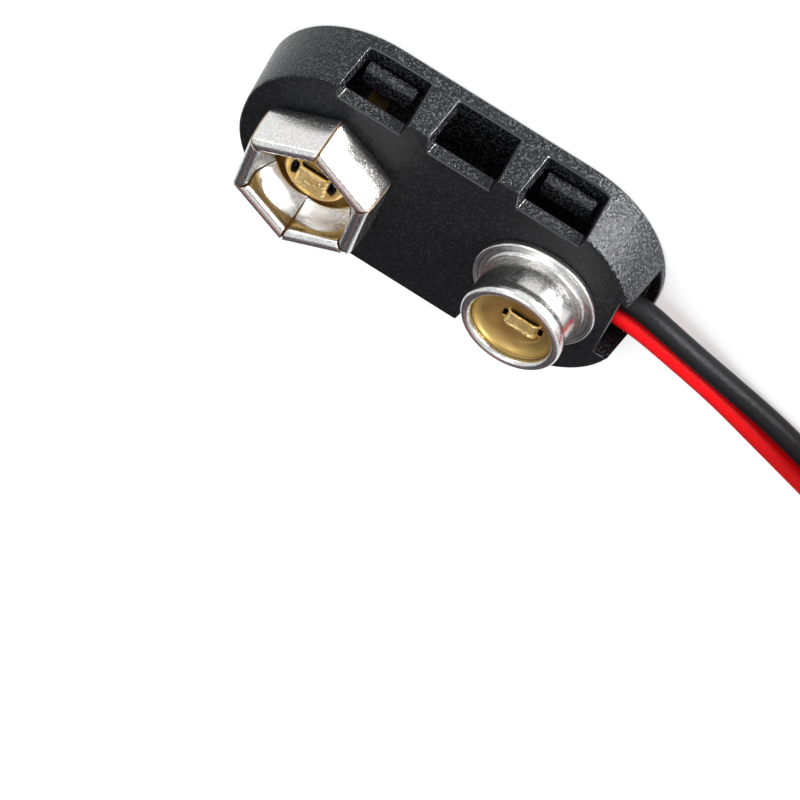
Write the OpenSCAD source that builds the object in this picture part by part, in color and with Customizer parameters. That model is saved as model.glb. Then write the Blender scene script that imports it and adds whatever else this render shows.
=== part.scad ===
// Snap connector for a nine volt block: a flat moulded housing with a six-petal socket, a round stud
// and two leads. It lies on its back cover, with the contacts up and the leads leaving along +X.

/* [Housing] */
// Length of the housing at its back edge
body_l = 23.65; // [22:0.05:28]
// Width of the housing at its back edge
body_w = 12.9; // [12:0.05:16]
// Height from the back edge to the contact face
body_h = 3.75; // [3.5:0.05:6]
// Straight stretch across each end, between the corner arcs
end_flat = 0.6; // [0.2:0.1:3]
// Draft of the outer wall and of the notch sides, in degrees
draft = 5; // [0:0.5:6]
// Rounding of the outer edges
edge_r = 0.2; // [0.1:0.05:0.3]
// Side wall thickness at the back edge
wall = 1.05; // [0.9:0.05:1.4]
// Thickness of the plate that carries the contacts
plate_t = 0.9; // [0.7:0.05:1.2]

/* [Notches] */
// Distance between neighbouring notches
notch_pitch = 5.35; // [5:0.05:6]
// Notch width at the contact face, in the outer wall
notch_w = 4.1; // [3.6:0.05:4.4]
// Narrowing of a notch on each side, from the outer wall to the plate edge
notch_taper = 0.2; // [0:0.05:0.3]
// How far the plate edge lies behind the outer wall at the contact face
notch_d = 1.13; // [1:0.05:1.4]
// Height of the ledge under a notch, above the back edge
ledge_z = 0.9; // [0.85:0.05:1.2]

/* [Lead slot] */
// Width of the slot in the end wall
slot_w = 4.7; // [4:0.1:6]
// Sideways offset of the slot
slot_y = 0.4; // [-0.6:0.1:0.6]
// How far the plate edge lies behind the end wall in the slot
slot_d = 1.05; // [0.9:0.05:1.3]

/* [Back cover] */
// Thickness of the cover
cover_t = 0.55; // [0.4:0.05:0.7]
// Width of the step that the cover seats on
cover_step = 0.4; // [0.3:0.05:0.5]
// Clearance round the cover
cover_gap = 0.08; // [0.05:0.01:0.15]
// Length of a snap hook
hook_l = 2.9; // [2:0.1:3]
// Thickness of a hook's arm
hook_t = 0.7; // [0.5:0.05:0.9]
// Gap between a hook's arm and the wall
hook_gap = 0.25; // [0.2:0.05:0.3]
// How far a hook's nose reaches past the inside of the wall
nose_reach = 0.3; // [0.2:0.05:0.4]
// Height of a nose
nose_h = 0.8; // [0.5:0.05:1]
// Clearance of a nose over its ledge
nose_gap = 0.05; // [0.03:0.01:0.1]

/* [Contacts] */
// Distance between the two contacts
contact_spacing = 12.7; // [12.5:0.1:13]
// Thickness of the contact sheet
sheet = 0.3; // [0.2:0.02:0.35]
// Width of the socket across its flats
socket_af = 7.2; // [6.9:0.05:8]
// Height of the socket above the contact face
socket_h = 3.15; // [2.8:0.05:4]
// Outer radius of the bend from the socket's floor into a petal
socket_bend_r = 0.95; // [0.7:0.05:1]
// Radius of the socket's floor, inside the slits
socket_floor_r = 2.5; // [2.2:0.05:2.6]
// Radius of the raised pad in the middle of that floor
pad_r = 1.8; // [1.75:0.05:1.9]
// Height of the pad above the contact face
pad_h = 1.45; // [1:0.05:1.6]
// Outer radius of the fold at the rim
fold_r = 0.4; // [0.36:0.01:0.45]
// Width of the slit between two petals
slit = 0.16; // [0.1:0.02:0.3]
// Height of the free edge of a petal's inner tongue
tongue_z = 0.5; // [0.4:0.05:1.4]
// How far an inner tongue leans towards the middle at its free edge
tongue_lean = 0.3; // [0.1:0.02:0.4]
// Hollow of an inner tongue, away from the middle
tongue_bow = 0.24; // [0.04:0.02:0.26]
// Radius of the scoop in a tongue's free edge
tongue_scoop_r = 3.2; // [2:0.1:4]
// Depth of that scoop
tongue_scoop = 0.3; // [0.1:0.05:0.4]
// Outer radius of the stud's rim
stud_r = 2.86; // [2.7:0.02:3]
// Length of the cylindrical land at the stud's rim
stud_land = 0.4; // [0.3:0.05:0.8]
// Length of the flare from the waist to that land
stud_flare = 1.3; // [0.6:0.05:1.5]
// Height of the stud above the contact face
stud_h = 3.15; // [2.8:0.05:4]
// Outer radius of the stud at its waist
stud_waist_r = 2.6; // [2.45:0.02:2.65]
// Outer radius of the stud's flange
flange_r = 3.5; // [3.3:0.05:4]
// Height of the raised lip of the flange
flange_h = 0.45; // [0.4:0.05:0.6]
// Width of the curl at the stud's rim
curl = 0.54; // [0.4:0.02:0.6]
// Height of the floor inside the stud above the contact face
stud_floor_h = 2.05; // [1.8:0.05:2.2]
// Radius of the round from that floor up to the rim
bowl_r = 0.7; // [0.5:0.05:0.7]
// Clearance round the bosses that stand in the contacts
boss_gap = 0.05; // [0.03:0.01:0.08]

/* [Lugs] */
// Thickness of the lug strip
lug_t = 0.4; // [0.3:0.05:0.5]
// Width of the lug strip
lug_w = 3; // [2.6:0.1:3.4]
// Length of the strip on the side away from its tail
lug_short = 1.8; // [1.5:0.1:2.4]
// Length of the strip on the side of its tail
lug_long = 4.3; // [3.8:0.05:4.6]
// Width of the bent-down tail
tail_w = 1.2; // [0.8:0.1:1.6]
// Depth of the tail under the strip
tail_h = 1; // [0.6:0.1:1.2]
// Sideways place of the tail on the strip
tail_x = 0.9; // [0.5:0.05:1]
// Width of the prongs folded down in the socket
socket_prong_w = 1.4; // [1:0.1:1.4]
// Width of the prongs folded down in the stud
stud_prong_w = 0.95; // [0.8:0.05:1.2]
// Thickness of a prong, and outer radius of its fold
prong_t = 0.3; // [0.25:0.05:0.35]
// Length over a pair of folded prongs
prong_span = 1.8; // [1.6:0.05:1.8]
// Gap between the ends of a folded pair
prong_meet = 0.12; // [0.06:0.02:0.3]
// Clearance round a prong in its slot
prong_gap = 0.1; // [0.06:0.01:0.12]
// How far the hole in a contact's floor tapers on past its prong
prong_relief = 0.3; // [0.2:0.05:0.35]
// How far the stud's lug lies off the stud's axis, towards the lead slot
lug_shift = 0.35; // [0:0.05:0.4]

/* [Leads] */
// Diameter of a lead
lead_d = 1.25; // [1:0.05:1.3]
// Diameter of its stripped strands
strand_d = 0.6; // [0.4:0.05:0.7]
// Length of the strands between insulation and solder bead
strand_l = 0.8; // [0.5:0.1:1.2]
// Size across a solder bead
bead_d = 1.4; // [1.2:0.1:1.5]
// Mean radius of the outer lead in the coil
coil_outer_r = 7.6; // [7.4:0.1:7.6]
// Mean radius of the inner lead in the coil
coil_inner_r = 6.2; // [5.6:0.1:6.2]
// Height of the coil
coil_h = 6; // [5:0.1:6.5]
// Width of the tie round the coil
tie_w = 1.6; // [1:0.1:3]
// Thickness of the tie
tie_t = 0.3; // [0.2:0.05:0.4]
// Clearance between coil and tie
tie_gap = 0.05; // [0.03:0.01:0.1]

/* [Hidden] */
$fn = 64;
cut = 1;
arc_steps = 8;
taper = tan(draft);
corner_r = (body_w - end_flat) / 2;
face_inset = body_h * taper;
face_l = body_l - 2 * face_inset;
face_w = body_w - 2 * face_inset;
plate_z = body_h - plate_t;
lug_z = plate_z - lug_t;
cavity_l = body_l - 2 * wall;
cavity_w = body_w - 2 * wall;
cavity_r = corner_r - wall;
socket_x = -contact_spacing / 2;
stud_x = contact_spacing / 2;
petals = 6;
half_petal = 180 / petals;

// Lead centres from inside the slot to the coil, on the surface that the part lies on
red_route = [[9.4, -0.9, 1.6], [11.4, -0.9, 1.6], [12.6, -1.2, 1.55], [14.4, -2, 1.3], [17.2, -3.5, 0.8],
             [20, -4.8, 0.65], [23, -6, 0.65], [26.4, -7.4, 0.65]];
black_route = [[9.4, 0.5, 1.6], [11.4, 0.5, 1.6], [12.6, 0.2, 1.6], [14.6, -0.65, 1.4], [17.8, -2.3, 0.8],
               [20, -3.1, 0.65], [22.2, -3.9, 0.65], [25.3, -5.25, 0.65]];
lead_sides = 8;
coil_at = [33.5, -2, 0];
coil_in = coil_inner_r - lead_d / 2;
coil_out = coil_outer_r + lead_d / 2;
tie_angle = 70;

function arc(c, r, a0, a1, n = arc_steps) =
    [for (i = [0:n]) c + r * [cos(a0 + (a1 - a0) * i / n), sin(a0 + (a1 - a0) * i / n)]];

// Smooth step from point a to point b, level at both ends along y
function ease(a, b, n = arc_steps) =
    [for (i = [0:n]) [a[0] + (b[0] - a[0]) * (1 - cos(180 * i / n)) / 2, a[1] + (b[1] - a[1]) * i / n]];

function unit(v) = v / norm(v);

// Plan outline of a block with round corners, as circles and squares
module round_plan(l, w, r) {
    square([l - 2 * r, w], center = true);
    square([l, w - 2 * r], center = true);
    for (x = [-1, 1], y = [-1, 1])
        translate([x * (l / 2 - r), y * (w / 2 - r)]) circle(r);
}

// Outer form of the housing: corner turns with drafted, edge-rounded profiles, hulled together
module drafted_block() {
    top_r = corner_r - face_inset;
    profile = concat([[0, 0]], arc([corner_r - edge_r, edge_r], edge_r, -90, 0, 3),
                     arc([top_r - edge_r, body_h - edge_r], edge_r, 0, 90, 3), [[0, body_h]]);
    hull()
        for (x = [-1, 1], y = [-1, 1])
            translate([x * (body_l / 2 - corner_r), y * (body_w / 2 - corner_r), 0])
                rotate_extrude() polygon(profile);
}

// Cutter of one notch in the +Y wall, wider towards the contact face and towards the outside
module notch_cut() {
    y0 = face_w / 2 - notch_d;
    y1 = body_w / 2 + cut;
    z0 = ledge_z;
    z1 = body_h + cut;
    out = notch_taper * (y1 - y0) / notch_d;
    low = notch_w / 2 - notch_taper - (body_h - z0) * taper;
    high = low + (z1 - z0) * taper;
    corners = [[-low, y0, z0], [low, y0, z0], [low + out, y1, z0], [-low - out, y1, z0],
               [-high, y0, z1], [high, y0, z1], [high + out, y1, z1], [-high - out, y1, z1]];
    polyhedron(corners, [[0, 1, 2, 3], [7, 6, 5, 4], [0, 4, 5, 1], [1, 5, 6, 2], [2, 6, 7, 3], [3, 7, 4, 0]]);
}

// Openings for the two prongs of a lug, in a contact's floor with a tapered end past each prong
module prong_slots(h, prong_w, relief = 0) {
    x0 = prong_span / 2 - prong_t - prong_gap;
    x1 = prong_span / 2 + prong_gap;
    side = prong_w / 2 + prong_gap;
    taper_end = relief > 0 ? [[x1 + relief, -prong_t], [x1 + relief, prong_t]] : [];
    for (turn = [0, 180])
        rotate(turn) linear_extrude(h)
            polygon(concat([[x0, -side], [x1, -side]], taper_end, [[x1, side], [x0, side]]));
}

// Round boss on the contact face that fills the hollow under a contact's raised floor
module boss(r, h) {
    translate([0, 0, body_h - plate_t / 2]) cylinder(r = r - sheet - boss_gap, h = h - sheet + plate_t / 2);
}

module housing() {
    color([0.05, 0.05, 0.055])
        difference() {
            union() {
                drafted_block();
                translate([socket_x, 0, 0]) boss(pad_r, pad_h);
                translate([stud_x, 0, 0]) boss(stud_waist_r, stud_floor_h);
            }
            translate([0, 0, -cut]) linear_extrude(cut + cover_t)
                round_plan(cavity_l + 2 * cover_step, cavity_w + 2 * cover_step, cavity_r + cover_step);
            translate([0, 0, cover_t / 2]) linear_extrude(plate_z - cover_t / 2)
                round_plan(cavity_l, cavity_w, cavity_r);
            for (k = [-1:1]) translate([k * notch_pitch, 0, 0]) notch_cut();
            for (k = [-1, 1]) translate([k * notch_pitch, 0, 0]) rotate(180) notch_cut();
            translate([face_l / 2 - slot_d, slot_y - slot_w / 2, cover_t])
                cube([slot_d + face_inset + cut, slot_w, body_h]);
            translate([socket_x, 0, plate_z - cut])
                prong_slots(plate_t + pad_h + 2 * cut, socket_prong_w);
            translate([stud_x + lug_shift, 0, plate_z - cut])
                prong_slots(plate_t + stud_floor_h + 2 * cut, stud_prong_w);
        }
}

// Snap hook on the +Y edge of the cover: an arm with a round-nosed catch that sits over the ledge
module hook() {
    arm_y = cavity_w / 2 - hook_gap;
    nose_z = ledge_z + nose_gap;
    nose_c = [cavity_w / 2 + nose_reach - nose_h / 2, nose_z + nose_h / 2];
    profile = concat([[arm_y - hook_t, cover_t / 2], [arm_y, cover_t / 2], [arm_y, nose_z]],
                     arc(nose_c, nose_h / 2, -90, 90), [[arm_y - hook_t, nose_z + nose_h]]);
    rotate([90, 0, 90]) linear_extrude(hook_l, center = true) polygon(profile);
}

module back_cover() {
    grow = 2 * (cover_step - cover_gap);
    color([0.06, 0.06, 0.065]) {
        linear_extrude(cover_t) round_plan(cavity_l + grow, cavity_w + grow, cavity_r + grow / 2);
        for (k = [-1, 1], turn = [0, 180]) rotate(turn) translate([k * notch_pitch, 0, 0]) hook();
    }
}

// One petal of the socket, facing +X: bend, upright wall, round fold and hollow inner tongue of one sheet
module petal() {
    out_x = socket_af / 2;
    in_x = out_x - 2 * fold_r;
    root_x = socket_floor_r - 2 * sheet;
    bend_c = [out_x - socket_bend_r, socket_bend_r];
    fold_c = [out_x - fold_r, socket_h - fold_r];
    tongue_h = fold_c[1] - tongue_z;
    tongue = [for (i = [0:arc_steps])
        [in_x - tongue_lean * i / arc_steps + tongue_bow * sin(180 * i / arc_steps),
         fold_c[1] - tongue_h * i / arc_steps]];
    outside = concat([[root_x, 0]], arc(bend_c, socket_bend_r, -90, 0), arc(fold_c, fold_r, 0, 180), tongue);
    inside = concat([for (i = [arc_steps:-1:0]) tongue[i] + [sheet, 0]], arc(fold_c, fold_r - sheet, 180, 0),
                    arc(bend_c, socket_bend_r - sheet, 0, -90), [[root_x, sheet]]);
    reach = out_x + cut;
    scoop_from = in_x - tongue_lean - sheet / 4;
    scoop_to = in_x - tongue_lean + sheet + 3 / 4 * tongue_bow;
    intersection() {
        difference() {
            rotate([90, 0, 0]) linear_extrude(2 * reach, center = true) polygon(concat(outside, inside));
            translate([scoop_from, 0, 0]) rotate([90, 0, 90])
                linear_extrude(scoop_to - scoop_from)
                    intersection() {
                        translate([0, tongue_z + tongue_scoop - tongue_scoop_r]) circle(tongue_scoop_r);
                        translate([-reach, tongue_z - sheet / 4]) square(2 * reach);
                    }
        }
        linear_extrude(socket_h)
            polygon([[slit, 0], [reach, (reach - slit) * tan(half_petal)],
                     [reach, -(reach - slit) * tan(half_petal)]]);
    }
}

// Half section of the socket's floor with the pad pressed up in its middle
module floor_section() {
    pad_in = pad_r - sheet;
    polygon(concat([[pad_in, 0], [socket_floor_r, 0], [socket_floor_r, sheet], [pad_r, sheet]],
                   arc([pad_in, pad_h - sheet], sheet, 0, 90, 4), [[0, pad_h], [0, pad_h - sheet],
                   [pad_in, pad_h - sheet]]));
}

module socket_contact() {
    color([0.82, 0.8, 0.78])
        translate([socket_x, 0, body_h])
            difference() {
                union() {
                    rotate_extrude() floor_section();
                    for (k = [0:petals - 1]) rotate(2 * k * half_petal) petal();
                }
                translate([0, 0, -cut]) prong_slots(pad_h + 2 * cut, socket_prong_w, prong_relief);
            }
}

// Half section of the stud: raised flange, flared barrel, rim curled inwards and shallow bowl with its floor
module stud_section() {
    lip = sheet / 2;
    foot = (flange_r - 2 * lip - stud_waist_r) * 2 / 3;
    curl_c = [stud_r - curl / 2, stud_h - curl / 2];
    land_z = curl_c[1] - stud_land;
    waist_z = land_z - stud_flare;
    barrel_in = stud_waist_r - sheet;
    bowl_edge = stud_r - curl + sheet / 4;
    polygon(concat([[barrel_in, 0]], arc([flange_r - lip, lip], lip, -90, 0, 4),
                   arc([flange_r - lip, flange_h - lip], lip, 0, 180), [[flange_r - 2 * lip, sheet]],
                   arc([stud_waist_r + foot, sheet + foot], foot, -90, -180),
                   ease([stud_waist_r, waist_z], [stud_r, land_z]), arc(curl_c, curl / 2, 0, 180),
                   [[stud_r - curl, curl_c[1] - sheet / 3]],
                   arc([bowl_edge - bowl_r, stud_floor_h + bowl_r], bowl_r, 0, -90),
                   [[0, stud_floor_h], [0, stud_floor_h - sheet], [barrel_in, stud_floor_h - sheet]]));
}

module stud_contact() {
    color([0.82, 0.8, 0.78])
        translate([stud_x, 0, body_h])
            difference() {
                rotate_extrude() stud_section();
                translate([lug_shift, 0, -cut]) prong_slots(stud_floor_h + 2 * cut, stud_prong_w, prong_relief);
            }
}

// Brass strip under the plate, with a bent-down tail and two prongs folded together on a contact's floor,
// which lies at floor_z over the strip
module lug(floor_z, prong_w) {
    leg_x = prong_span / 2 - prong_t;
    prong = concat([[leg_x, -lug_t], [leg_x + prong_t, -lug_t]], arc([leg_x, floor_z], prong_t, 0, 90),
                   [[prong_meet / 2, floor_z + prong_t], [prong_meet / 2, floor_z], [leg_x, floor_z]]);
    color([0.8, 0.62, 0.28])
        translate([0, 0, plate_z]) {
            translate([-lug_w / 2, -lug_short, -lug_t]) cube([lug_w, lug_short + lug_long, lug_t]);
            translate([tail_x - tail_w / 2, lug_long - lug_t, -lug_t - tail_h])
                cube([tail_w, lug_t, tail_h + lug_t]);
            for (turn = [0, 180])
                rotate(turn) rotate([90, 0, 0]) linear_extrude(prong_w, center = true) polygon(prong);
        }
}

module socket_lug() {
    translate([socket_x, 0, 0]) lug(plate_t + pad_h, socket_prong_w);
}

module stud_lug() {
    translate([stud_x + lug_shift, 0, 0]) rotate(180) lug(plate_t + stud_floor_h, stud_prong_w);
}

// Ball of solder under a lug, level with the start of a lead's route
module bead_ball(x, route) {
    translate([x, route[0][1], lug_z - bead_d * 0.35]) sphere(d = bead_d);
}

// Solder bead, cut flat where it meets the strip
module bead(x, route) {
    color([0.72, 0.72, 0.74])
        difference() {
            bead_ball(x, route);
            translate([x - bead_d, route[0][1] - bead_d, lug_z]) cube(2 * bead_d);
        }
}

module red_joint() {
    bead(socket_x, red_route);
}

module black_joint() {
    bead(stud_x, black_route);
}

// Stripped strands from the end of the insulation into the bead
module strands(x, route) {
    color([0.78, 0.72, 0.66])
        difference() {
            translate([x, route[0][1], route[0][2]]) rotate([0, 90, 0])
                cylinder(d = strand_d, h = bead_d / 2 + strand_l, $fn = 24);
            bead_ball(x, route);
        }
}

module red_strands() {
    strands(socket_x, red_route);
}

module black_strands() {
    strands(stud_x, black_route);
}

// Round tube swept along a list of points
module swept_tube(points, d) {
    last = len(points) - 1;
    rings = [for (i = [0:last])
        let (along = unit(points[min(i + 1, last)] - points[max(i - 1, 0)]),
             side = unit(cross(along, [0, 0, 1])),
             up = cross(side, along))
        for (j = [0:lead_sides - 1])
            points[i] + d / 2 * (cos(360 * j / lead_sides) * side + sin(360 * j / lead_sides) * up)];
    sides = [for (i = [0:last - 1], j = [0:lead_sides - 1])
        let (k = (j + 1) % lead_sides, a = i * lead_sides, b = a + lead_sides)
        [a + j, b + j, b + k, a + k]];
    near_end = [for (j = [0:lead_sides - 1]) j];
    far_end = [for (j = [lead_sides - 1:-1:0]) last * lead_sides + j];
    polyhedron(rings, concat([near_end, far_end], sides));
}

// Insulated lead from its bead's strands, straight to the slot and out along its route
module lead(x, route) {
    start = [x + bead_d / 2 + strand_l, route[0][1], route[0][2]];
    swept_tube(concat([start], route), lead_d);
}

module red_lead() {
    color([0.85, 0.03, 0.06]) lead(socket_x, red_route);
}

module black_lead() {
    color([0.04, 0.04, 0.045]) lead(stud_x, black_route);
}

// Outer form of the wound-up leads, with a shallow step underneath where the tie passes
module lead_coil() {
    color([0.3, 0.03, 0.05])
        translate(coil_at)
            difference() {
                rotate_extrude() translate([coil_in, 0]) square([coil_out - coil_in, coil_h]);
                rotate(tie_angle) translate([coil_in - cut, -tie_w / 2 - tie_gap, -cut])
                    cube([coil_out - coil_in + 2 * cut, tie_w + 2 * tie_gap, cut + tie_t + tie_gap]);
            }
}

// Flat band closed round the coil's section
module coil_tie() {
    band_in = sqrt(pow(coil_in, 2) - pow(tie_w / 2, 2)) - tie_gap;
    band_out = coil_out + tie_gap;
    top = coil_h + tie_gap;
    color([0.1, 0.1, 0.1])
        translate(coil_at) rotate(tie_angle) rotate([90, 0, 0])
            linear_extrude(tie_w, center = true)
                difference() {
                    translate([band_in - tie_t, 0]) square([band_out - band_in + 2 * tie_t, top + tie_t]);
                    translate([band_in, tie_t]) square([band_out - band_in, top - tie_t]);
                }
}

housing();
back_cover();
socket_contact();
stud_contact();
socket_lug();
stud_lug();
red_joint();
black_joint();
red_strands();
black_strands();
red_lead();
black_lead();
lead_coil();
coil_tie();
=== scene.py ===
"""Looks of a nine volt battery snap: a black moulded housing with a petal socket, a stud and two leads."""

from math import cos, pi, radians, sin, tan

import bmesh
import bpy
import numpy as np
from mathutils import Matrix, Vector


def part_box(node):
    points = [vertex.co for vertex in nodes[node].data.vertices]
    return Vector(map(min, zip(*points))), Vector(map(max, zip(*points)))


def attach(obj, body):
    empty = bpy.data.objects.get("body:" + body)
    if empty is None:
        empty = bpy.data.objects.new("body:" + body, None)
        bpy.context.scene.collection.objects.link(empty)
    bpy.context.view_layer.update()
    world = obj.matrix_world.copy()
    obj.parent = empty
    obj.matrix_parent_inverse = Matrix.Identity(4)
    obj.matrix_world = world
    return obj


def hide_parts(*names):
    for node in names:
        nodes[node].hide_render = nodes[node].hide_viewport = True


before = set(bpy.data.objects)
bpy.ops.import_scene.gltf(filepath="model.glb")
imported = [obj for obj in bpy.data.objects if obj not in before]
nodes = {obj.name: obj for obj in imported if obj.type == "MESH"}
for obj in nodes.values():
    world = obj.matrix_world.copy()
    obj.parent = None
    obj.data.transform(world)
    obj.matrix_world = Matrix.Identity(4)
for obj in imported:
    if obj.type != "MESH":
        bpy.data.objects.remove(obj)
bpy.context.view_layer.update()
scene = bpy.context.scene
scene.view_settings.view_transform = "Standard"
mm = 0.001

# Camera: it stands a quarter of a metre away and looks at the wall with three notches and down on the contacts,
# rolled so that the leads run down to the right.
camera_at = Vector((18.171, 201.681, 151.566)) * mm
camera_aim = Vector((3.761, 0, 14.031)) * mm
camera_roll = radians(-145.6)
camera_data = bpy.data.cameras.new("camera")
camera_data.lens = 219.55
camera_data.clip_start = 10 * mm
camera = bpy.data.objects.new("camera", camera_data)
camera_turn = (camera_aim - camera_at).to_track_quat("-Z", "Y").to_matrix().to_4x4()
camera.matrix_world = Matrix.Translation(camera_at) @ camera_turn @ Matrix.Rotation(camera_roll, 4, "Z")
scene.collection.objects.link(camera)
scene.camera = camera

# Leads: two stranded wires in soft extruded insulation, red from the socket and black from the stud. They are
# soldered under the contacts, leave through the slot in the end wall and are wound up beside the snap.
lead_d = 1.25 * mm
lead_bend_step = 1.3 * mm
coil_centre = np.array((33.5, -2.0)) * mm
coil_entry = radians(-110)
coil_pitch = 1.4 * mm
coil_start_z = 0.65 * mm
coil_points_per_turn = 24
red_coil_radius, red_coil_turns = 7.6 * mm, 2.7
black_coil_radius, black_coil_turns = 6.2 * mm, 3.3
slot_face_x = 11.5 * mm
# Inside the housing the leads are darkened to a small share of their colour as painted shade, fading to full colour
# between these two places.
shaded_up_to_x = slot_face_x - 2 * mm
unshaded_from_x = slot_face_x - 0.8 * mm
painted_shade_share = 0.02


def smooth_route(points, step):
    """Evenly spaced points on the cubic curve through the given ones. The parameter is the chord length, and the
    slope at a point is that of the parabola through it and its two neighbours."""
    along = np.r_[0, np.cumsum(np.linalg.norm(np.diff(points, axis=0), axis=1))]
    slope = np.gradient(points, along, axis=0)
    at = np.linspace(0, along[-1], int(round(along[-1] / step)) + 1)
    span = np.clip(np.searchsorted(along, at, side="right") - 1, 0, len(points) - 2)
    width = (along[span + 1] - along[span])[:, None]
    t = (at - along[span])[:, None] / width
    ends = points[span] * (1 + 2 * t) * (1 - t) ** 2 + points[span + 1] * t ** 2 * (3 - 2 * t)
    return ends + width * (slope[span] * t * (1 - t) ** 2 - slope[span + 1] * t ** 2 * (1 - t))


def on_coil(radius, angle, height):
    """Points at these angles and heights on a circle round the middle of the coil."""
    x, y = coil_centre[0] + radius * np.cos(angle), coil_centre[1] + radius * np.sin(angle)
    return np.stack([x, y, height], axis=1)


def coil_turns(radius, turns):
    """Points on a rising circle: the angle grows evenly from the entry, and the height by one pitch a turn."""
    swept = np.linspace(0, turns, int(round(turns * coil_points_per_turn)) + 1)
    return on_coil(radius, coil_entry + 2 * pi * swept, coil_start_z + coil_pitch * swept)


def feed(tree, node, values):
    """Each named input of a node is joined to another node's output, or set to a plain number or colour."""
    for name, value in values.items():
        if isinstance(value, bpy.types.NodeSocket):
            tree.links.new(value, node.inputs[name])
        else:
            node.inputs[name].default_value = value


def add_node(tree, kind, values, **settings):
    """A new shader node with its settings, and its inputs fed with the values."""
    node = tree.nodes.new("ShaderNode" + kind)
    for name, setting in settings.items():
        setattr(node, name, setting)
    feed(tree, node, values)
    return node


def new_finish(name):
    """A new material, its node tree, its shader, and the output that gives the piece's own coordinates."""
    material = bpy.data.materials.new(name)
    material.use_nodes = True
    tree = material.node_tree
    return material, tree, tree.nodes["Principled BSDF"], add_node(tree, "TexCoord", {}).outputs["Object"]


def clouds(tree, place, scale, detail):
    """Cloud texture with this many clouds to a metre and this many finer layers: a value about one half."""
    return add_node(tree, "TexNoise", {"Vector": place, "Scale": scale, "Detail": detail}).outputs["Fac"]


def two_tone(tree, share, first, second):
    """A colour that goes from the first to the second by the share. Both are plain or another node's output."""
    colours = [one if isinstance(one, bpy.types.NodeSocket) else (*one, 1) for one in (first, second)]
    mix = add_node(tree, "Mix", {"Factor": share, "A": colours[0], "B": colours[1]}, data_type="RGBA")
    return mix.outputs["Result"]


def ranged(tree, value, source, target=(0, 1), smooth=False):
    """The range source carried to the range target and held at its ends, in a straight line or a smooth step."""
    values = {"Value": value, "From Min": source[0], "From Max": source[1], "To Min": target[0], "To Max": target[1]}
    return add_node(tree, "MapRange", values,
                    interpolation_type="SMOOTHSTEP" if smooth else "LINEAR").outputs["Result"]


def bumped(tree, height, depth, strength=1):
    """The surface's normal when it is raised by the height times the depth."""
    return add_node(tree, "Bump", {"Height": height, "Distance": depth, "Strength": strength}).outputs["Normal"]


def insulation(name, colour, streak_colour):
    """Soft extruded plastic: a slow drift between two near colours and a fine matte skin. Inside the housing it is
    darkened to a small share of its colour as painted shade."""
    material, tree, shader, place = new_finish(name)
    skin = clouds(tree, place, 7000, 4)
    along = add_node(tree, "SeparateXYZ", {"Vector": place}).outputs["X"]
    outside = ranged(tree, along, (shaded_up_to_x, unshaded_from_x))
    unshaded_colour = two_tone(tree, clouds(tree, place, 260, 3), colour, streak_colour)
    feed(tree, shader, {"Base Color": two_tone(tree, outside, [part * painted_shade_share for part in colour], unshaded_colour),
                        "Roughness": ranged(tree, skin, (0, 1), (0.38, 0.55)),
                        "Normal": bumped(tree, skin, 0.025 * mm),
                        "Specular IOR Level": 0.22})
    return material


def lead(name, route, coil_radius, turns, material):
    """A round curve along the smoothed route and then along the coil's turns."""
    turned = coil_turns(coil_radius, turns)
    straight = smooth_route(np.vstack([np.array(route) * mm, turned[:1]]), lead_bend_step)
    points = np.vstack([straight, turned[1:]])
    data = bpy.data.curves.new(name, "CURVE")
    data.dimensions = "3D"
    data.bevel_depth = lead_d / 2
    data.bevel_resolution = 6
    data.resolution_u = 4
    data.use_fill_caps = True
    spline = data.splines.new("BEZIER")
    spline.bezier_points.add(len(points) - 1)
    spline.bezier_points.foreach_set("co", points.ravel())
    for knot in spline.bezier_points:
        knot.handle_left_type = knot.handle_right_type = "AUTO"
    data.materials.append(material)
    piece = bpy.data.objects.new(name, data)
    scene.collection.objects.link(piece)
    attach(piece, "root")
    return piece, points


red_route = [(-4.85, -0.9, 1.6), (9.4, -0.9, 1.6), (11.4, -0.9, 1.6), (12.6, -1.2, 1.55), (14.4, -2, 1.3),
             (17.2, -3.5, 0.8), (20, -4.8, 0.65), (23, -6, 0.65), (26.4, -7.4, 0.65)]
black_route = [(7.85, 0.5, 1.6), (9.4, 0.5, 1.6), (11.4, 0.5, 1.6), (12.6, 0.2, 1.6), (14.6, -0.65, 1.4),
               (17.8, -2.3, 0.8), (20, -3.1, 0.65), (22.2, -3.9, 0.65), (25.3, -5.25, 0.65)]
red_skin = insulation("red_insulation", (0.88, 0.001, 0.004), (0.78, 0.001, 0.003))
black_skin = insulation("black_insulation", (0.004, 0.004, 0.005), (0.008, 0.008, 0.009))
red_wire, red_points = lead("red_wire", red_route, red_coil_radius, red_coil_turns, red_skin)
black_wire, black_points = lead("black_wire", black_route, black_coil_radius, black_coil_turns, black_skin)
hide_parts("red_lead", "lead_coil")
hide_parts("black_lead")

# Bare ends: the last 5 mm of each lead, seven tinned strands twisted together and left stripped for soldering.
# They follow on from the insulation inside the coil.
tip_length = 5 * mm
tip_rows = 25
tip_strand_r = 0.1 * mm
tip_sink = 0.4 * mm
tip_twists = 1.5
outer_strands = 6
strand_sides = 8
merge_reach = 1e-7


def grid_faces(rows, columns, close_rows=False, close_columns=False):
    """Quads between neighbouring points of a grid that is stored row by row, wrapped round where a way closes."""
    i = np.arange(rows if close_rows else rows - 1)[:, None]
    j = np.arange(columns if close_columns else columns - 1)[None, :]
    below, beside = (i + 1) % rows * columns, (j + 1) % columns
    return np.stack([i * columns + j, i * columns + beside, below + beside, below + j], -1).reshape(-1, 4)


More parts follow.
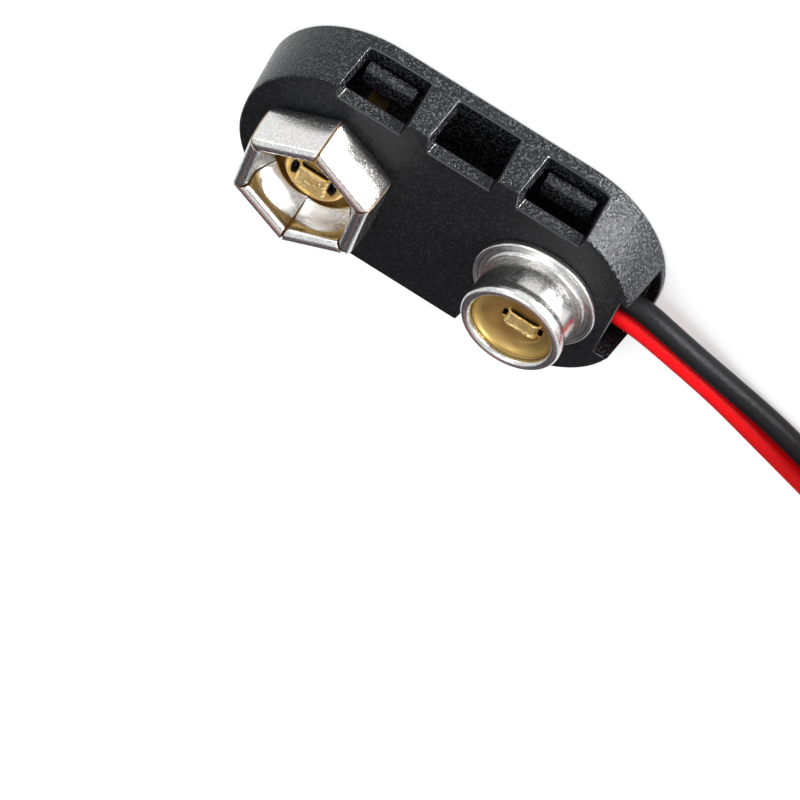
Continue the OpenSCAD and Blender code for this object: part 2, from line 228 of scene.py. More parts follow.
def add_piece(name, points, faces, materials):
    """A smooth-shaded mesh of these points and faces, its coincident points merged, riding on the snap's body."""
    mesh = bpy.data.meshes.new(name)
    mesh.from_pydata(np.asarray(points).reshape(-1, 3).tolist(), [], faces.tolist())
    for material in materials:
        mesh.materials.append(material)
    solid = bmesh.new()
    solid.from_mesh(mesh)
    bmesh.ops.remove_doubles(solid, verts=solid.verts, dist=merge_reach)
    solid.to_mesh(mesh)
    solid.free()
    mesh.shade_smooth()
    piece = bpy.data.objects.new(name, mesh)
    scene.collection.objects.link(piece)
    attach(piece, "root")
    return piece


def bundle(path, strand_r, twists):
    """Points of seven round strands: one along the path and six around it on helices, each a ring of points at right
    angles to the path, drawn in to a point at both ends."""
    layout = np.r_[0, np.ones(outer_strands)] * 2 * strand_r
    share = np.linspace(0, 1, len(path))
    along = np.gradient(path, axis=0)
    along /= np.linalg.norm(along, axis=1)[:, None]
    side = np.cross(along, (0, 0, 1))
    side /= np.linalg.norm(side, axis=1)[:, None]
    up = np.cross(side, along)
    turn = np.r_[0, np.arange(outer_strands)][:, None] * 2 * pi / outer_strands + 2 * pi * twists * share
    centre = path + layout[:, None, None] * (np.cos(turn)[..., None] * side + np.sin(turn)[..., None] * up)
    ring = np.linspace(0, 2 * pi, strand_sides, endpoint=False)
    spoke = np.cos(ring)[:, None] * side[:, None] + np.sin(ring)[:, None] * up[:, None]
    width = strand_r * np.where((share == 0) | (share == 1), 0, 1)
    points = centre[:, :, None] + width[:, None, None] * spoke
    strand = grid_faces(len(path), strand_sides, close_columns=True)[:, ::-1]
    faces = np.concatenate([strand + k * len(path) * strand_sides for k in range(len(layout))])
    return points, faces


def tinned(name):
    """Tinned copper: pale metal with a dull, slightly uneven gloss."""
    material, tree, shader, place = new_finish(name)
    cloud = clouds(tree, place, 1800, 4)
    feed(tree, shader, {"Base Color": two_tone(tree, cloud, (0.60, 0.57, 0.53), (0.74, 0.72, 0.69)),
                        "Roughness": ranged(tree, cloud, (0, 1), (0.26, 0.46)),
                        "Metallic": 1})
    return material


def bare_end(name, lead_points, coil_radius, material):
    """Strands along the coil's circle from just inside the end of the insulation."""
    last = lead_points[-1]
    start = np.arctan2(last[1] - coil_centre[1], last[0] - coil_centre[0]) - tip_sink / coil_radius
    angle = start + np.linspace(0, tip_length / coil_radius, tip_rows)
    path = on_coil(coil_radius, angle, np.full(tip_rows, last[2]))
    points, faces = bundle(path, tip_strand_r, tip_twists)
    piece = add_piece(name, points, faces, [material])
    return piece


strand_metal = tinned("tinned_strands")
red_tip = bare_end("red_tip", red_points, red_coil_radius, strand_metal)
black_tip = bare_end("black_tip", black_points, black_coil_radius, strand_metal)

# Tie: a flat soft plastic band closed round the wound-up leads, which keeps the coil together on the shelf.
# It is cut from strip, with its four bends rounded by the turns that it holds.
tie_angle = radians(70)
tie_width = 1.6 * mm
tie_thickness = 0.3 * mm
tie_corner = 0.7 * mm
tie_corner_steps = 8
tie_edge_steps = 6
tie_reach = (5.22 * mm, 8.575 * mm)
tie_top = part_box("coil_tie")[1].z
tie_squareness, tie_roundness = 0.3, 0.6


def rounded_rectangle(low, high, corner, steps):
    """Closed outline of a box from corner point low to high: a quarter circle round each corner, and straight
    runs between them."""
    quarter = np.linspace(0, pi / 2, steps)
    centre = np.array([(high[0] - corner, high[1] - corner), (low[0] + corner, high[1] - corner),
                       (low[0] + corner, low[1] + corner), (high[0] - corner, low[1] + corner)])
    angle = (np.arange(4)[:, None] * pi / 2 + quarter)[..., None]
    return (centre[:, None] + corner * np.concatenate([np.cos(angle), np.sin(angle)], -1)).reshape(-1, 2)


def band(inner, outer, width, edge_steps):
    """Closed strip between two matching outlines in the plane of radius and height: a flattened oval section, whose
    cosine and sine are raised to small powers, carried once round the coil's section."""
    turn = np.linspace(0, 2 * pi, 4 * edge_steps, endpoint=False)
    across = np.sign(np.cos(turn)) * np.abs(np.cos(turn)) ** tie_squareness * width / 2
    depth = (0.5 + 0.5 * np.sign(np.sin(turn)) * np.abs(np.sin(turn)) ** tie_roundness)[None, :, None]
    flat = inner[:, None] * (1 - depth) + outer[:, None] * depth
    return flat, np.broadcast_to(across, flat.shape[:2])


def plain_plastic(name, colour, grain_scale, gloss_range):
    """Plain plastic: even colour with slow clouds half as bright again, and a fine skin."""
    material, tree, shader, place = new_finish(name)
    cloud = clouds(tree, place, grain_scale, 4)
    feed(tree, shader, {"Base Color": two_tone(tree, cloud, colour, [part * 1.5 for part in colour]),
                        "Roughness": ranged(tree, cloud, (0, 1), gloss_range),
                        "Normal": bumped(tree, cloud, 0.03 * mm, 0.2)})
    return material


tie_outer = rounded_rectangle((tie_reach[0], 0), (tie_reach[1], tie_top), tie_corner, tie_corner_steps)
tie_inner = rounded_rectangle((tie_reach[0] + tie_thickness, tie_thickness),
                              (tie_reach[1] - tie_thickness, tie_top - tie_thickness),
                              tie_corner - tie_thickness, tie_corner_steps)
tie_flat, tie_across = band(tie_inner, tie_outer, tie_width, tie_edge_steps)
tie_points = np.stack([
    coil_centre[0] + tie_flat[..., 0] * cos(tie_angle) - tie_across * sin(tie_angle),
    coil_centre[1] + tie_flat[..., 0] * sin(tie_angle) + tie_across * cos(tie_angle),
    tie_flat[..., 1]], axis=-1)
tie_faces = grid_faces(*tie_flat.shape[:2], close_rows=True, close_columns=True)[:, ::-1]
tie_plastic = plain_plastic("tie_plastic", (0.05, 0.05, 0.052), 1500, (0.4, 0.6))
tie = add_piece("tie", tie_points, tie_faces, [tie_plastic])
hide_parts("coil_tie")

# Housing: one moulding of black plastic with a fine spark-eroded grain on its walls, a smoother contact face and
# edges rubbed bright. Three notches are let into one long wall and two into the other, and the leads leave by a
# slot in the end wall.
body_top = 3.75 * mm
face_margin = 0.02 * mm
face_fade = 0.03 * mm
face_grain = 0.3
face_dulling = 0.35
housing_edge = 0.12 * mm
short_edge = 0.03 * mm
edge_room = 1.15
sharp_angle = radians(38)
flat_angle = radians(1)
slot_centre = Vector((12.7, 0.4, 2.25)) * mm
slot_half = Vector((2.28, 2.38, 1.75)) * mm
slot_fade = 0.05 * mm
grain_scale = 8500
grain_depth = 0.035 * mm


def softened_copy(node, name, edge, materials):
    """A piece from a node's own solid: its triangles joined into whole faces, and each sharp edge rounded, by less
    where a short edge meets it. The roundings take the last of the materials."""
    solid = bmesh.new()
    solid.from_mesh(nodes[node].data)
    bmesh.ops.remove_doubles(solid, verts=solid.verts, dist=short_edge)
    bmesh.ops.dissolve_limit(solid, angle_limit=flat_angle, verts=solid.verts, edges=solid.edges)
    weight = solid.edges.layers.float.new("bevel_weight_edge")
    for line in solid.edges:
        shortest = min(other.calc_length() for end in line.verts for other in end.link_edges)
        line[weight] = min(1, shortest / (edge_room * edge)) if line.calc_face_angle(0) > sharp_angle else 0
    mesh = bpy.data.meshes.new(name)
    solid.to_mesh(mesh)
    solid.free()
    for material in materials:
        mesh.materials.append(material)
    mesh.shade_smooth()
    mesh.set_sharp_from_angle(angle=sharp_angle)
    piece = bpy.data.objects.new(name, mesh)
    scene.collection.objects.link(piece)
    soft = piece.modifiers.new("soft_edges", "BEVEL")
    soft.width = edge
    soft.segments = 3
    soft.limit_method = "WEIGHT"
    soft.material = len(materials) - 1
    soft.use_clamp_overlap = False
    soft.harden_normals = True
    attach(piece, "root")
    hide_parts(node)
    return piece


def worked(tree, operation, first, second=0):
    """One calculation on two values, each a number or another node's output."""
    return add_node(tree, "Math", {0: first, 1: second}, operation=operation).outputs["Value"]


def new_group(name, inputs, outputs):
    """A new node group with named sockets: the group, what comes into it, and the node that takes what goes out."""
    group = bpy.data.node_groups.new(name, "ShaderNodeTree")
    for way, sockets in (("INPUT", inputs), ("OUTPUT", outputs)):
        for socket, kind in sockets.items():
            group.interface.new_socket(socket, in_out=way, socket_type="NodeSocket" + kind)
    return group, group.nodes.new("NodeGroupInput").outputs, group.nodes.new("NodeGroupOutput")


def grain_group():
    """Spark-eroded mould grain: a height of small round pits on a coarser cloud, and a mask of short winding crests,
    which is 1 where a second cloud crosses its middle value and the first one is high."""
    group, inside, outside = new_group("mould_grain", {"Vector": "Vector", "Scale": "Float"},
                                       {"Height": "Float", "Cloud": "Float", "Crest": "Float"})
    place, scale = inside["Vector"], inside["Scale"]
    pits = add_node(group, "TexVoronoi", {"Vector": place, "Scale": scale, "Smoothness": 0.6}, feature="SMOOTH_F1")
    cloud = clouds(group, place, worked(group, "MULTIPLY", scale, 0.8), 3)
    off_middle = worked(group, "ABSOLUTE", worked(group, "SUBTRACT", clouds(group, place, scale, 1), 0.5))
    winding = ranged(group, off_middle, (0, 0.13), (1, 0), smooth=True)
    broken = ranged(group, cloud, (0.46, 0.62), smooth=True)
    feed(group, outside, {"Height": worked(group, "ADD", pits.outputs["Distance"], cloud),
                          "Cloud": cloud,
                          "Crest": worked(group, "MULTIPLY", winding, broken)})
    return group


def box_distance_group():
    """Distance from a box given by its centre and half sides: the length of what is left of the offset from the
    centre, without its signs, after the half sides are taken off. It is 0 inside the box."""
    group, inside, outside = new_group("box_distance", {"Vector": "Vector", "Centre": "Vector", "Half": "Vector"},
                                       {"Distance": "Float"})
    vector = inside["Vector"]
    for operation, other in (("SUBTRACT", inside["Centre"]), ("ABSOLUTE", (0, 0, 0)), ("SUBTRACT", inside["Half"]),
                             ("MAXIMUM", (0, 0, 0))):
        vector = add_node(group, "VectorMath", {0: vector, 1: other}, operation=operation).outputs["Vector"]
    length = add_node(group, "VectorMath", {0: vector}, operation="LENGTH")
    feed(group, outside, {"Distance": length.outputs["Value"]})
    return group


mould_grain = grain_group()
box_distance = box_distance_group()


def moulded_plastic(name, dark, pale, smooth_above):
    """Black moulded plastic: mould grain whose winding crests on the walls are painted paler as painted glints, less
    than half of the grain and of the painted glints and a duller gloss above the height smooth_above, and no painted
    glints in the lead slot."""
    material, tree, shader, place = new_finish(name)
    grain = add_node(tree, "Group", {"Vector": place, "Scale": grain_scale}, node_tree=mould_grain).outputs
    slot = add_node(tree, "Group", {"Vector": place, "Centre": slot_centre, "Half": slot_half},
                    node_tree=box_distance)
    height = add_node(tree, "SeparateXYZ", {"Vector": place}).outputs["Z"]
    face_edge = (smooth_above - face_fade, smooth_above)
    depth = ranged(tree, height, face_edge, (1, face_grain))
    dull = ranged(tree, height, face_edge, (0, face_dulling))
    past_slot = ranged(tree, slot.outputs["Distance"], (0, slot_fade))
    painted_glints = worked(tree, "MULTIPLY", worked(tree, "MULTIPLY", grain["Crest"], depth), past_slot)
    gloss = ranged(tree, grain["Cloud"], (0, 1), (0.2, 0.34))
    feed(tree, shader, {"Base Color": two_tone(tree, painted_glints, dark, pale),
                        "Roughness": worked(tree, "ADD", gloss, dull),
                        "Normal": bumped(tree, worked(tree, "MULTIPLY", grain["Height"], depth), grain_depth),
                        "Specular IOR Level": 0.3})
    return material


# The pale colour is that of the painted glints on the grain's crests.
housing_plastic = moulded_plastic("housing_plastic", (0.002, 0.0022, 0.003), (0.068, 0.071, 0.081),
                                  body_top - face_margin)
rubbed_edge = plain_plastic("rubbed_edge", (0.006, 0.006, 0.007), 3000, (0.14, 0.24))
housing = softened_copy("housing", "housing_shell", housing_edge, [housing_plastic, rubbed_edge])

# Back cover: a flat moulding of the same black plastic, pressed into the open back. Its four round-nosed hooks catch
# over the ledges under the outer notches.
cover_edge = 0.05 * mm
cover_grain_below = 1
# The pale colour is that of the painted glints on the grain's crests.
cover_plastic = moulded_plastic("cover_plastic", (0.003, 0.003, 0.0035), (0.068, 0.07, 0.076), cover_grain_below)
cover = softened_copy("back_cover", "cover_plate", cover_edge, [cover_plastic])

# Lugs: stamped brass strips under the plate, painted near-black there as painted shade. Two prongs of each come up
# through plate and contact and are folded together on the contact's floor, where the punch has left their long edges
# standing.
prong_thickness = 0.3 * mm
prong_half_span = 0.9 * mm
prong_skin = 0.02 * mm
prong_foot = 0.1 * mm
prong_shell = 0.12 * mm
prong_columns = 15
prong_fold_steps = 9
prong_flat_steps = 8
strip_edge = 0.06 * mm


def metal(name, dark, pale, gloss_range, scale, dent_scale, dent_depth, metallic=1):
    """Metal: two tones in small clouds, a gloss that follows the middle of their range, and shallow dents. Below a
    metallic of 1 some of its colour also shows as on a painted surface."""
    material, tree, shader, place = new_finish(name)
    cloud = clouds(tree, place, scale, 5)
    feed(tree, shader, {"Base Color": two_tone(tree, cloud, dark, pale),
                        "Roughness": ranged(tree, cloud, (0.3, 0.7), gloss_range),
                        "Normal": bumped(tree, clouds(tree, place, dent_scale, 2), dent_depth),
                        "Metallic": metallic})
    return material


def thicken(piece, thickness):
    """The piece's surface gets this thickness on its back."""
    wall = piece.modifiers.new("sheet", "SOLIDIFY")
    wall.thickness = thickness
    wall.offset = -1
    return wall


def folded_prongs(name, at, width, ridge, material):
    """Outer skin of a pair of folded prongs: rows follow one prong up its leg and round its fold to the middle and
    the other down again, columns run across, and the surface is lifted by the ridge times the cube of the share of
    the half width."""
    turn = np.linspace(0, pi / 2, prong_fold_steps)
    bend = prong_half_span - prong_thickness
    out = prong_thickness + prong_skin
    flat = np.linspace(bend, 0, prong_flat_steps)[1:]
    along = np.r_[bend + out, bend + out * np.cos(turn), flat]
    height = np.r_[-prong_foot, out * np.sin(turn), np.full(len(flat), out)]
    lean = np.r_[0, turn, np.full(len(flat), pi / 2)]
    along, height = np.r_[along, -along[-2::-1]], np.r_[height, height[-2::-1]]
    lean = np.r_[lean, pi - lean[-2::-1]]
    across = np.linspace(-1, 1, prong_columns)
    lift = ridge * np.abs(across) ** 3
    x = along[:, None] + lift * np.cos(lean)[:, None]
    y = np.broadcast_to(across * (width / 2 + prong_skin), x.shape)
    z = height[:, None] + lift * np.sin(lean)[:, None]
    prongs = add_piece(name, np.stack([at.x + x, at.y + y, at.z + z], -1), grid_faces(*x.shape), [material])
    thicken(prongs, prong_shell)


lug_brass = metal("lug_brass", (0.88, 0.58, 0.17), (1.0, 0.82, 0.40), (0.16, 0.3), 1500, 2800, 0.16 * mm,
                  metallic=0.65)
# Near-black brass: painted shade on the strips that lie under the plate.
shaded_lug_brass = metal("shaded_lug_brass", (0.015, 0.010, 0.004), (0.03, 0.02, 0.009), (0.5, 0.7), 1500, 3500, 0.03 * mm)
for node in ("socket_lug", "stud_lug"):
    lug = softened_copy(node, node + "_strip", strip_edge, [shaded_lug_brass])
folded_prongs("socket_prongs", Vector((-6.35, 0, 5.2)) * mm, 1.4 * mm, 0.06 * mm, lug_brass)
folded_prongs("stud_prongs", Vector((6.7, 0, 5.8)) * mm, 0.95 * mm, 0.12 * mm, lug_brass)

# Soldered joints: a drop of tin solder under each lug holds the stripped, tinned strands of its lead.
# They are closed in by the back cover.
solder = metal("solder", (0.52, 0.52, 0.54), (0.68, 0.68, 0.69), (0.25, 0.45), 1200, 700, 0.04 * mm)
for node, finish in (("red_joint", solder), ("black_joint", solder),
                     ("red_strands", strand_metal), ("black_strands", strand_metal)):
    nodes[node].data.materials.clear()
    nodes[node].data.materials.append(finish)

# Socket: a star of brass sheet, bright plated on its outer side and bare on the other. Its six petals bend up from
# the floor, fold over at the rim and come down inside as hollow springy tongues. A pad pressed up in the floor
# carries the folded prongs.
socket_at = Vector((-6.35, 0, 3.75)) * mm
sheet = 0.3 * mm
pad_radius = 1.8 * mm
pad_height = 1.45 * mm
pad_bends = (0.05 * mm, 0.45 * mm)
floor_bend = 0.95 * mm
wall_foot = 3.665 * mm
wall_belly = (3.66 * mm, 1.7 * mm)
wall_top = (3.57 * mm, 2.783 * mm)
wall_bow = 6 * mm
bend_steps = 9
petal_step = 0.1 * mm
fold_radius = 0.4 * mm
fold_steps = 21
tongue_line = np.array([(2.771, 2.75), (2.87, 2.5), (2.9, 2.2), (2.78, 1.75), (2.5, 1.2), (2.2, 0.75)]) * mm
tongue_step = 0.05 * mm
tongue_rows = 25
pocket_depth = 0.1 * mm
pocket_at, pocket_reach = 0.22, 0.15
scoop_radius = 3.2 * mm
scoop_depth = 0.3 * mm
petal_slit = 0.16 * mm
slit_closed = 0.03 * mm
slit_from, slit_to = 1.9 * mm, 2.2 * mm
petal_count = 6
petal_columns = 17
pad_hole = (0.88 * mm, 1.33 * mm, radians(25))
cut_edge_round = 0.035 * mm
cut_edge_angle = radians(50)


def rounded_path(corners, radii, steps):
    """A line through the corners, each inner corner replaced by a circular arc of its radius."""
    corners = np.array(corners, float)
    path = [corners[:1]]
    for before, corner, after, radius in zip(corners, corners[1:], corners[2:], radii):
        to_before = (before - corner) / np.linalg.norm(before - corner)
        to_after = (after - corner) / np.linalg.norm(after - corner)
        half = np.arccos(np.clip(to_before @ to_after, -1, 1)) / 2
        middle = (to_before + to_after) / np.linalg.norm(to_before + to_after)
        centre = corner + middle * radius / sin(half)
        start = corner + to_before * radius / tan(half) - centre
        across = corner - centre - start * ((corner - centre) @ start) / radius ** 2
        across *= radius / np.linalg.norm(across)
        turn = np.linspace(0, pi - 2 * half, steps)[:, None]
        path.append(centre + start * np.cos(turn) + across * np.sin(turn))
    return np.vstack(path + [corners[-1:]])


def spread(path, step):
    """The same line with its long straight runs divided into steps."""
    gaps = np.linalg.norm(np.diff(path, axis=0), axis=1)
    counts = np.maximum(1, np.ceil(gaps / step).astype(int))
    start = np.repeat(np.arange(len(gaps)), counts)
    share = np.concatenate([np.arange(n) / n for n in counts])[:, None]
    return np.vstack([path[start] * (1 - share) + path[start + 1] * share, path[-1:]])


def petal_sheet():
    """Plated side of one petal as a grid: rows follow the sheet from the middle of the pad, down to the floor, up
    the wall, over the fold and down the tongue, and columns run across. Pad and floor are round, and further out
    the half width is the hexagon's at that radius less the slit. A bell curve down the tongue, strongest in its
    middle, hollows a pocket under the fold, and a circle scoops its free edge."""
    corners = [(0, pad_height - sheet), (pad_radius - sheet, pad_height - sheet), (pad_radius - sheet, 0),
               (wall_foot, 0), wall_belly, wall_top]
    rise = spread(rounded_path(corners, (*pad_bends, floor_bend, wall_bow), bend_steps), petal_step)
    tilt = np.arctan2(wall_belly[0] - wall_top[0], wall_top[1] - wall_belly[1])
    fold_centre = np.array(wall_top) - fold_radius * np.array((cos(tilt), sin(tilt)))
    turn = np.linspace(tilt, pi, fold_steps)[1:, None]
    fold = fold_centre + fold_radius * np.concatenate([np.cos(turn), np.sin(turn)], 1)
    up = np.vstack([rise, fold])
    across = np.linspace(-1, 1, petal_columns)
    radius = np.broadcast_to(up[:, :1], (len(up), petal_columns))
    height = np.broadcast_to(up[:, 1:], radius.shape)
    edge_half = (tongue_line[-1, 0] - slit_closed) * tan(pi / petal_count)
    tongue_low = tongue_line[-1, 1]
    scoop = tongue_low + scoop_depth - scoop_radius + np.sqrt(scoop_radius ** 2 - (across * edge_half) ** 2)
    edge = np.maximum(tongue_low, scoop)
    down = np.linspace(0, 1, tongue_rows)[1:, None]
    tongue_height = fold_centre[1] - (fold_centre[1] - edge) * down
    hollow = smooth_route(tongue_line, tongue_step)[::-1]
    pocket = pocket_depth * np.exp(-((down - pocket_at) / pocket_reach) ** 2) * (1 - 2 * across ** 2)
    tongue_radius = np.interp(tongue_height, hollow[:, 1], hollow[:, 0]) + pocket
    gap = petal_slit + (slit_closed - petal_slit) * np.r_[np.zeros(len(up)), down[:, 0]][:, None]
    radius, height = np.vstack([radius, tongue_radius]), np.vstack([height, tongue_height])
    opening = np.clip((radius - slit_from) / (slit_to - slit_from), 0, 1)
    sector = across * pi / petal_count
    forward = radius * ((1 - opening) * np.cos(sector) + opening)
    side = (1 - opening) * radius * np.sin(sector) + opening * across * (radius - gap) * tan(pi / petal_count)
    return forward, side, height


def open_holes(faces, along, across, hole):
    """The faces that lie outside two holes, one on each side of the middle along X: each is the part of a ring
    between two radii and within an angle of the axis. The flat coordinates start between the prongs."""
    reach, angle = np.hypot(along, across), np.arctan2(np.abs(across), np.abs(along))
    ring, share = reach[faces].mean(1), angle[faces].mean(1)
    return faces[~((ring > hole[0]) & (ring < hole[1]) & (share < hole[2]))]


petal_forward, petal_side, petal_height = petal_sheet()
petal_turn = (np.arange(petal_count) * 2 * pi / petal_count)[:, None, None]
socket_points = np.stack([
    petal_forward * np.cos(petal_turn) - petal_side * np.sin(petal_turn),
    petal_forward * np.sin(petal_turn) + petal_side * np.cos(petal_turn),
    np.broadcast_to(petal_height, (petal_count, *petal_height.shape))], axis=-1).reshape(-1, 3)
petal_faces = grid_faces(*petal_height.shape)
socket_faces = np.concatenate([petal_faces + k * petal_height.size for k in range(petal_count)])
socket_faces = open_holes(socket_faces, socket_points[:, 0], socket_points[:, 1], pad_hole)
bright_plating = metal("bright_plating", (0.40, 0.39, 0.37), (1.0, 0.99, 0.97), (0.16, 0.28), 8000, 12000, 0.011 * mm)
floor_brass = metal("floor_brass", (0.70, 0.44, 0.11), (0.88, 0.62, 0.22), (0.3, 0.46), 1100, 5000, 0.02 * mm,
                    metallic=0.7)
edge_metal = metal("cut_edge", (0.34, 0.27, 0.19), (0.48, 0.40, 0.30), (0.3, 0.5), 900, 9000, 0.01 * mm)
socket = add_piece("socket_petals", socket_points + np.array(socket_at), socket_faces,
                   [bright_plating, floor_brass, edge_metal])
petal_wall = thicken(socket, sheet)
petal_wall.use_even_offset = True
petal_wall.material_offset = 1
petal_wall.material_offset_rim = 2
cut_edge = socket.modifiers.new("cut_edge", "BEVEL")
cut_edge.width = cut_edge_round
cut_edge.segments = 2
cut_edge.limit_method = "ANGLE"
cut_edge.angle_limit = cut_edge_angle
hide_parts("socket_contact")

# Stud: a drawn sleeve of the same sheet, satin plated, with a raised rolled flange and a nearly straight barrel. Its
# rim is curled inwards over a rounded bowl of bare brass, which carries the folded prongs of its lug.
stud_at = Vector((6.35, 0, 3.75)) * mm
stud_rim = 2.86 * mm
stud_land = 0.15 * mm
stud_flare = 0.55 * mm
stud_height = 3.15 * mm
stud_waist = 2.78 * mm
stud_curl = 0.54 * mm
curl_tuck = 0.12 * mm
flange_rim = 3.5 * mm
flange_height = 0.45 * mm
flange_fillet = 0.08 * mm
sleeve_step = 0.3 * mm
bowl_floor = 2.05 * mm
bowl_round = 0.7 * mm
bowl_spread = 1.4 * mm
bowl_edge = 2.395 * mm
bowl_sheet = 0.15 * mm
bowl_step = 0.08 * mm
lug_shift = 0.35 * mm
shift_end = 1.69 * mm
shift_fade = 0.39 * mm
bowl_hole = (0.9 * mm, 1.18 * mm, radians(17))
stud_sides = 128
stud_sharp_angle = radians(50)


def arc(centre, radius, start, stop, steps):
    """Points on a circle between two angles in degrees."""
    turn = np.radians(np.linspace(start, stop, steps))[:, None]
    return np.array(centre) + radius * np.concatenate([np.cos(turn), np.sin(turn)], 1)


def ease(start, stop, steps):
    """A cosine step between two points: the radius leaves and arrives upright."""
    share = np.linspace(0, 1, steps)[:, None]
    swing = np.concatenate([(1 - np.cos(pi * share)) / 2, share], 1)
    return np.array(start) * (1 - swing) + np.array(stop) * swing


def revolved(profile):
    """A profile of radius and height carried round the upright axis, one row for each of its places."""
    turn = np.linspace(0, 2 * pi, stud_sides, endpoint=False)[:, None]
    radius, height = profile.T
    height = np.broadcast_to(height, (stud_sides, len(height)))
    return np.stack([radius * np.cos(turn), radius * np.sin(turn), height], axis=-1)


lip = sheet / 2
foot = (flange_rim - 2 * lip - stud_waist) * 2 / 3
curl_centre = (stud_rim - stud_curl / 2, stud_height - stud_curl / 2)
land_z = curl_centre[1] - stud_land
waist_z = land_z - stud_flare
barrel_in = stud_waist - sheet
sleeve = spread(np.vstack([
    [(barrel_in, 0)],
    arc((flange_rim - lip, lip), lip, -90, 0, 7),
    arc((flange_rim - lip, flange_height - lip), lip, 0, 180, 14),
    arc((flange_rim - 2 * lip - flange_fillet, sheet + flange_fillet), flange_fillet, 0, -90, 5),
    arc((stud_waist + foot, sheet + foot), foot, -90, -180, 10),
    ease((stud_waist, waist_z), (stud_rim, land_z), 16),
    arc(curl_centre, stud_curl / 2, 0, 200, 22),
    [(stud_rim - sheet, curl_centre[1] - curl_tuck)],
    ease((stud_rim - sheet, land_z), (barrel_in, waist_z), 8)]), sleeve_step)
satin_plating = metal("satin_plating", (0.40, 0.39, 0.37), (1.0, 0.99, 0.97), (0.15, 0.26), 8000, 12000, 0.009 * mm)
sleeve_faces = grid_faces(stud_sides, len(sleeve), close_rows=True, close_columns=True)[:, ::-1]
stud = add_piece("stud_sleeve", revolved(sleeve) + np.array(stud_at), sleeve_faces, [satin_plating])
stud.data.set_sharp_from_angle(angle=stud_sharp_angle)
bowl_middle = np.array((bowl_edge - bowl_spread, bowl_floor + bowl_round))
bowl_side = bowl_middle + arc((0, 0), 1, -90, 0, 18) * (bowl_spread, bowl_round)
bowl = spread(np.vstack([[(0, bowl_floor)], bowl_side]), bowl_step)
bowl_points = revolved(bowl)
bowl_points[..., 0] += lug_shift * np.clip((shift_end - bowl[:, 0]) / shift_fade, 0, 1)
bowl_points = bowl_points.reshape(-1, 3)
bowl_faces = open_holes(grid_faces(stud_sides, len(bowl), close_rows=True),
                        bowl_points[:, 0] - lug_shift, bowl_points[:, 1], bowl_hole)
bare_brass = metal("bare_brass", (0.36, 0.24, 0.075), (0.50, 0.35, 0.13), (0.4, 0.58), 1100, 9000, 0.012 * mm)
stud_bowl = add_piece("stud_bowl", bowl_points + np.array(stud_at), bowl_faces[:, ::-1], [bare_brass])
thicken(stud_bowl, bowl_sheet)
for piece in (stud, stud_bowl):
    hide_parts("stud_contact")

# Stage: a pale table that runs out of view on all sides and keeps the shadow, a key lamp beyond the leads, weak lamps
# above and beside it, and a low one under the table, which lets it through and stands for the light that a bright
# ground throws up at the walls. The plating mirrors a pale surround with three tinted places.
floor_half = 3.0
table_lift = 0.55
footprint_half = (5.7 * mm, 0.35 * mm, 1)
footprint_round = (5.5 * mm, 5.9 * mm)
pale_surround = (0.95, 0.97, 1.0)
tinted_places = (((-0.06, -0.85, 0.52), (0.5, 0.85), (0.09, 0.095, 0.11)),
                 ((0.1, -0.55, 0.83), (0.945, 0.985), (0.62, 0.29, 0.23)),
                 ((0.65, 0.41, 0.64), (0.96, 0.988), (0.45, 0.26, 0.22)))


def floor_finish():
    """Pale matte table. What the camera and mirror-like surfaces see of it is lifted to white, except under the
    housing, where no light comes."""
    material, tree, shader, place = new_finish("table")
    tree.nodes.remove(shader)
    paths = add_node(tree, "LightPath", {}).outputs
    seen = worked(tree, "MAXIMUM", paths["Is Camera Ray"], paths["Is Glossy Ray"])
    footprint = add_node(tree, "Group", {"Vector": place, "Half": footprint_half}, node_tree=box_distance)
    lift = ranged(tree, footprint.outputs["Distance"], footprint_round, (0, table_lift))
    matte = add_node(tree, "BsdfDiffuse", {"Color": (0.86, 0.86, 0.86, 1)})
    glow = add_node(tree, "Emission", {"Strength": worked(tree, "MULTIPLY", seen, lift)})
    both = add_node(tree, "AddShader", {0: matte.outputs["BSDF"], 1: glow.outputs["Emission"]})
    feed(tree, tree.nodes["Material Output"], {"Surface": both.outputs["Shader"]})
    return material


floor_mesh = bpy.data.meshes.new("table")
floor_mesh.from_pydata([(x * floor_half, y * floor_half, 0) for x, y in ((-1, -1), (1, -1), (1, 1), (-1, 1))],
                       [], [(0, 1, 2, 3)])
floor_mesh.materials.append(floor_finish())
floor = bpy.data.objects.new("table", floor_mesh)
scene.collection.objects.link(floor)


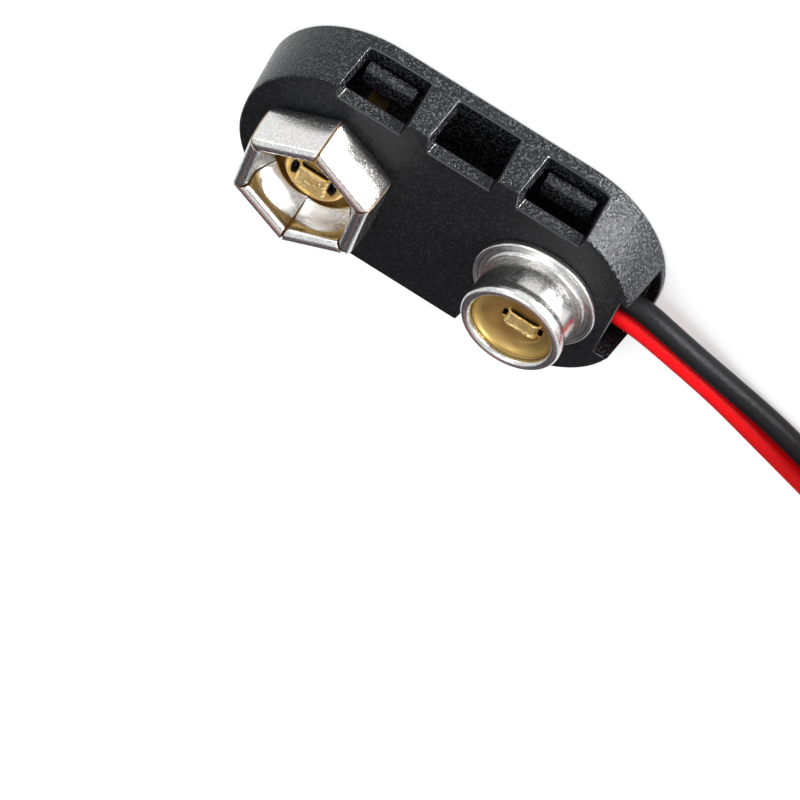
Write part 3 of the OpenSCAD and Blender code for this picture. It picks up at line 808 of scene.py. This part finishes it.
def soft_lamp(name, at, aim, width, height, watts):
    """A flat lamp that faces the point aim and that the camera doesn't see."""
    data = bpy.data.lights.new(name, "AREA")
    data.shape = "RECTANGLE"
    data.size = width
    data.size_y = height
    data.energy = watts
    lamp = bpy.data.objects.new(name, data)
    lamp.location = at
    lamp.rotation_euler = (Vector(aim) - Vector(at)).to_track_quat("-Z", "Y").to_euler()
    lamp.visible_camera = False
    scene.collection.objects.link(lamp)
    return lamp


def all_but(name, *spared):
    """A collection that takes these pieces out of a lamp's light or shade."""
    group = bpy.data.collections.new(name)
    for piece in spared:
        group.objects.link(piece)
    for entry in group.collection_objects:
        entry.light_linking.link_state = "EXCLUDE"
    return group


soft_lamp("top_lamp", (-0.12, 0.22, 0.38), (0, 0, 0), 0.24, 0.24, 0.6)
key_lamp = soft_lamp("key_lamp", (0.37, 0.29, 0.09), (0, 0, 0.004), 0.30, 0.15, 3.6)
soft_lamp("fill_lamp", (-0.31, 0.32, 0.05), (0, 0, 0.004), 0.20, 0.08, 0.25)
low_lamp = soft_lamp("low_lamp", (0.284, 0.295, -0.19), (0, 0, 0.004), 0.28, 0.26, 4.4)
low_lamp.data.cycles.use_multiple_importance_sampling = False
low_lamp.light_linking.blocker_collection = all_but("lets_low_lamp_through", floor)
low_lamp.light_linking.receiver_collection = all_but("lit_by_low_lamp", red_wire, black_wire, tie)
key_lamp.light_linking.receiver_collection = all_but("lit_by_key_lamp", floor)


def surround():
    """Pale all round. Only mirror-like surfaces see its tinted places, a wide dark one beyond the contacts and two
    small red-brown ones above: each fades in with the cosine of the angle from its middle. The surround is brighter
    for them and the camera than as a light."""
    world = bpy.data.worlds.new("surround")
    world.use_nodes = True
    tree = world.node_tree
    paths = add_node(tree, "LightPath", {}).outputs
    view = add_node(tree, "TexCoord", {}).outputs["Object"]
    colour = pale_surround
    for towards, fade, tint in tinted_places:
        cosine = add_node(tree, "VectorMath", {0: view, 1: Vector(towards).normalized()}, operation="DOT_PRODUCT")
        near = ranged(tree, cosine.outputs["Value"], fade, smooth=True)
        colour = two_tone(tree, worked(tree, "MULTIPLY", near, paths["Is Glossy Ray"]), colour, tint)
    seen = worked(tree, "MAXIMUM", paths["Is Camera Ray"], paths["Is Glossy Ray"])
    feed(tree, tree.nodes["Background"], {"Color": colour, "Strength": ranged(tree, seen, (0, 1), (0.45, 0.95))})
    return world


scene.world = surround()
